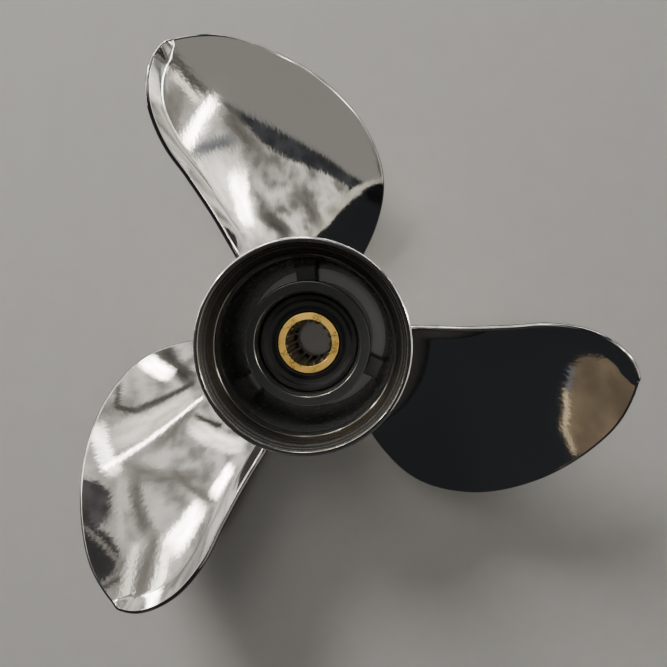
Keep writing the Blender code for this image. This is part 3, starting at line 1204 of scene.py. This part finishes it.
@dataclass
class Studio:
    """The camera, the pale floor, the soft lights and the cards that the gloss mirrors."""

    camera_place: tuple[float, float, float] = (28.96 * MM, 20.18 * MM, 465.54 * MM)
    tilt: float = math.radians(2.196)
    pan: float = math.radians(-2.208)
    lens: float = 37.78
    sensor: float = 36.0
    floor_size: float = 30.0
    floor_dark: Colour = (0.35, 0.335, 0.305)
    floor_light: Colour = (0.385, 0.37, 0.34)
    room_colour: Colour = (0.5, 0.49, 0.47)
    room_strength: float = 0.1
    reach: float = 2.5
    spot_gap: float = 0.1
    layer_gap: float = 0.004
    softboxes: tuple[Softbox, ...] = (
        Softbox("window_light", 120, 36, 0.8, 68.0),
        Softbox("overhead_light", 110, 66, 1.0, 15.0, mirrored=True),
        Softbox("top_light", 35, 89.1, 0.25, 9.0),
    )
    panels: tuple[Panel, ...] = (
        Panel("ceiling_card", ((21.4, 57.7), (20.7, 56.6), (19.1, 55.1), (14.5, 51.4), (9.8, 47.9),
            (2.8, 43.6), (-6.9, 38.5), (-13.1, 35.4), (-20.2, 32.3), (-26.1, 29.3), (-33, 27.7),
            (-38.1, 31.6), (-44, 42), (-44, 63), (0, 72), (30, 66), (26, 59)), 3.6, (0.98, 0.93, 0.83)),
        Panel("cloudy_sheet", ((30, 57), (23.6, 56.2), (20.5, 55.6), (15.4, 51.6), (9.3, 46.6), (2, 41),
            (-6, 36), (-14, 32.5), (-25, 28), (-27.5, 25.8), (-26.1, 22.2), (-17.9, 14.2), (-10.7, 5.6),
            (-3.8, -4), (36, -4), (33, 30), (31, 46)), 15.0, (1.0, 0.94, 0.83), dim=0.18, near=0.005),
        Panel("slanted_strip", ((-30.4, 26.4), (-38.1, 31.6), (-40.8, 31.9), (-41.6, 30.4), (-35.7, 26.5),
            (-30, 22.9), (-24.4, 16), (-19.5, 9.4), (-11.6, 2.6), (-3.3, 1.8), (-11.2, 9.5), (-16.5, 15.8),
            (-23.3, 21)), 12.0, (1.0, 0.93, 0.76), dim=0.45, near=0.03),
        Panel("dark_band", ((9.8, 47.8), (2.8, 43.6), (-6.9, 38.5), (-13.1, 35.4), (-20.2, 32.3),
            (-26.1, 29.3), (-31.8, 25.4), (-27.6, 25.2), (-20.6, 27.4), (-12.8, 30.1), (-6, 32.6),
            (-2.3, 34.9), (1.3, 37.9), (4.6, 42.2)), 0.9, (0.92, 0.97, 1.0), dim=0.4, patch=0.15, near=0.02),
        Panel("window_sheet", ((112, 53), (102, 48), (92, 41), (84, 32), (81, 20), (88, 10), (118, 4),
            (158, -3), (162, 12), (162, 36), (161, 50), (154, 59), (134, 58)), 13.0, (1.0, 0.94, 0.84),
            dim=0.28, patch=0.3),
        Panel("dark_left", ((121, 49.7), (123.4, 46.5), (127, 45.1), (130.7, 46.1), (133.7, 48.1),
            (133.5, 49.7), (131.7, 51.1), (125, 54)), 1.3, dim=0.3, patch=0.12, near=0.02),
        Panel("dark_corner", ((131.2, 51.3), (133.1, 49.2), (136.8, 48.1), (140.6, 47.9), (144.2, 48.6),
            (146.7, 50.1), (148.1, 53), (144.2, 55), (137.8, 55), (130, 54)), 0.4, near=0.03),
        Panel("warm_card", ((-103.3, 40.3), (-100.8, 41.3), (-99.6, 43.1), (-99, 45), (-99, 47), (-98.5, 50),
            (-102.4, 50.4), (-108.2, 49), (-113.5, 48), (-117.6, 46), (-117.7, 43.6), (-114.6, 41.7),
            (-109.2, 40.4)), 3.0, (1.0, 0.74, 0.46), dim=0.5),
    )
    spots: tuple[Spot, ...] = (
        Spot("glow_wide", (14.8, 35.5), (16.5, 11.2), 5.8, 32),
        Spot("cream_edge", (20.6, 39.1), (20.8, 24.9), 2.0, 28),
        Spot("glow", (12.6, 30.7), (17.1, 17.3), 3.0, 200),
        Spot("left_grey", (22.7, 52.2), (23.3, 45.8), 1.3, 4),
        Spot("blue_grey", (20.6, 41.0), (9.8, 40.4), 1.7, 3.5, (0.9, 0.95, 1.0)),
        Spot("top_grey", (9.3, 45.8), (4.9, 38.8), 1.6, 2.5),
        Spot("right_grey", (-8.2, 24.1), (-14.2, 10.5), 3.4, 3),
        Spot("right_light", (-16.8, 26.6), (-22.4, 21.7), 2.1, 14),
        Spot("low_dark", (9.6, 18.1), (1.6, 4.7), 4.4, 1.6),
        Spot("wedge_glow", (16.5, 45.4), (22.8, 43.3), 2.0, 45),
        Spot("wedge", (12.9, 48.0), (21.6, 43.4), 1.2, 260),
        Spot("corner_dark", (21.0, 56.1), (14.1, 50.0), 0.6, 0.9),
        Spot("corner_streak", (20.5, 54.1), (15.9, 49.2), 0.4, 35, (1.0, 0.9, 0.75)),
        Spot("edge_dark", (-29.7, 41.5), (-38.3, 30.8), 0.9, 0.4),
        Spot("mid_grey", (122.6, 41.5), (138.0, 25.5), 2.3, 4.5),
        Spot("cream", (114.0, 41.3), (111.3, 19.8), 3.5, 24),
        Spot("left_white", (110.7, 44.4), (121.5, 43.6), 1.7, 90),
        Spot("right_cream", (123.9, 19.3), (143.9, 8.1), 3.6, 40),
        Spot("root_shade", (87.6, 28.4), (104.3, 15.8), 3.7, 1.2),
        Spot("blob", (92.2, 31.6), (97.7, 25.9), 2.5, 280),
        Spot("round_left", (98.3, 39.0), (105.2, 40.0), 0.8, 1.4),
        Spot("round_low", (105.1, 40.2), (108.5, 34.7), 0.8, 1.0),
        Spot("round_right", (107.8, 35.7), (105.8, 14.6), 1.4, 1.4),
        Spot("line_shade", (120.6, 34.6), (115.9, 16.5), 2.5, 4),
        Spot("root_dark", (119.1, 18.0), (131.5, 9.2), 1.3, 0.8),
        Spot("slant_dark", (131.8, 31.7), (147.9, 26.7), 1.3, 3.5),
        Spot("dark_1", (126.8, 40.5), (141.5, 42.9), 1.7, 3),
        Spot("light_1", (124.9, 42.5), (139.0, 47.0), 0.8, 13),
        Spot("dark_2", (142.0, 41.9), (153.7, 50.0), 1.0, 3.2),
        Spot("light_2", (141.7, 45.5), (152.0, 51.1), 0.6, 30),
        Spot("fold_1", (146.1, 16.9), (146.3, 25.1), 1.9, 250),
        Spot("fold_2", (145.2, 32.4), (147.0, 40.0), 2.3, 240),
        Spot("fold_3", (147.0, 41.9), (153.4, 47.5), 0.9, 70),
        Spot("zigzag_1", (133.4, 50.6), (139.8, 49.3), 0.2, 8),
        Spot("zigzag_2", (139.6, 49.4), (143.5, 48.9), 0.2, 8),
        Spot("zigzag_3", (143.3, 48.8), (145.9, 50.1), 0.2, 8),
        Spot("zigzag_4", (145.8, 49.9), (146.9, 52.1), 0.2, 8),
        Spot("tube_light", (114.1, 12.7), (121.2, 45.5), 0.42, 240),
        Spot("border_dim", (-102.6, 40.5), (-108.4, 40.4), 0.4, 3, (0.95, 0.95, 1.0)),
        Spot("warm_border", (-107.8, 40.2), (-115.4, 41.9), 0.45, 13, (1.0, 0.8, 0.5)),
        Spot("warm_foot", (-115.0, 41.8), (-117.6, 44.6), 0.35, 11, (1.0, 0.8, 0.5)),
    )

    def add_camera(self) -> None:
        """Puts the camera over the propeller's aft end."""
        data = bpy.data.cameras.new("camera")
        data.sensor_width = self.sensor
        data.lens = self.lens
        camera = add_object("camera", data)
        towards = Matrix.Rotation(self.tilt, 4, "X") @ Matrix.Rotation(self.pan, 4, "Y")
        camera.matrix_world = Matrix.Translation(self.camera_place) @ towards.inverted()
        bpy.context.scene.camera = camera

    def add_floor(self) -> None:
        """Lays the plain floor."""
        half = self.floor_size / 2
        mesh = bpy.data.meshes.new("floor")
        corners = [(-half, -half, 0), (half, -half, 0), (half, half, 0), (-half, half, 0)]
        mesh.from_pydata(corners, [], [(0, 1, 2, 3)])
        floor = add_object("floor", mesh)
        shader = Shader("floor_card")
        grain = shader.noise(shader.place, 60.0, 4.0, 0.6)
        shader.set({"Base Color": shader.tint(grain, self.floor_dark, self.floor_light),
                    "Roughness": 0.6 + grain * 0.1, "Specular IOR Level": 0.0})
        mesh.materials.append(shader.material)

    def add_world(self) -> None:
        """Leaves the room nearly dark, so that black paint stays black."""
        world = bpy.data.worlds.new("room")
        world.use_nodes = True
        inputs = world.node_tree.nodes["Background"].inputs
        inputs["Color"].default_value = (*self.room_colour, 1.0)
        inputs["Strength"].default_value = self.room_strength
        bpy.context.scene.world = world

    def walls(self) -> list[Panel]:
        """Makes the low bright walls, which draw thin lines on rounded edges, and the dim room behind.

        Returns:
            The cards.
        """
        low = [Panel(f"wall_{turn}", ((turn, 0), (turn, 5), (turn + 40, 5), (turn + 40, 0)), 90.0, dim=0.4,
                     near=-0.1) for turn in range(0, 180, 45)]
        return low + [Panel(f"room_{turn}", ((turn, -2), (turn, 75), (turn + 45, 75), (turn + 45, -2)), 0.2,
                            (0.9, 1.0, 1.03), near=-6.0) for turn in range(0, 360, 45)]

    def build(self) -> None:
        """Sets up the whole studio."""
        self.add_camera()
        self.add_floor()
        self.add_world()
        for panel in [*self.panels, *self.walls()]:
            panel.build(self.reach)
        for layer, spot in enumerate(self.spots):
            spot.build(self.reach - self.spot_gap - self.layer_gap * layer)
        for softbox in self.softboxes:
            softbox.build(self.reach)


def main() -> None:
    """Builds every part of the scene in order."""
    logging.basicConfig(level=logging.INFO, format="%(name)s: %(message)s")
    Studio().build()
    hub = Hub()
    # Both paints are lighter in colour inside the hub, which is painted light; the ribs' colour is lighter
    # still.
    smooth = CastPaint(seed=5.0, wave_depth=0.004 * MM, brush_depth=0.001 * MM, dulled=0.12)
    rib_paint = CastPaint(seed=4.0, dulled=0.45, painted_light_inner_colour=(0.07, 0.067, 0.06))
    hub.build(CastPaint().material(), TurnedPaint().material(), smooth.material())
    Ribs(hub).build(rib_paint.material())
    Bush().build(BushRubber().material(), SleeveBrass().material())
    Blades(hub).build()


if __name__ == "__main__":
    main()
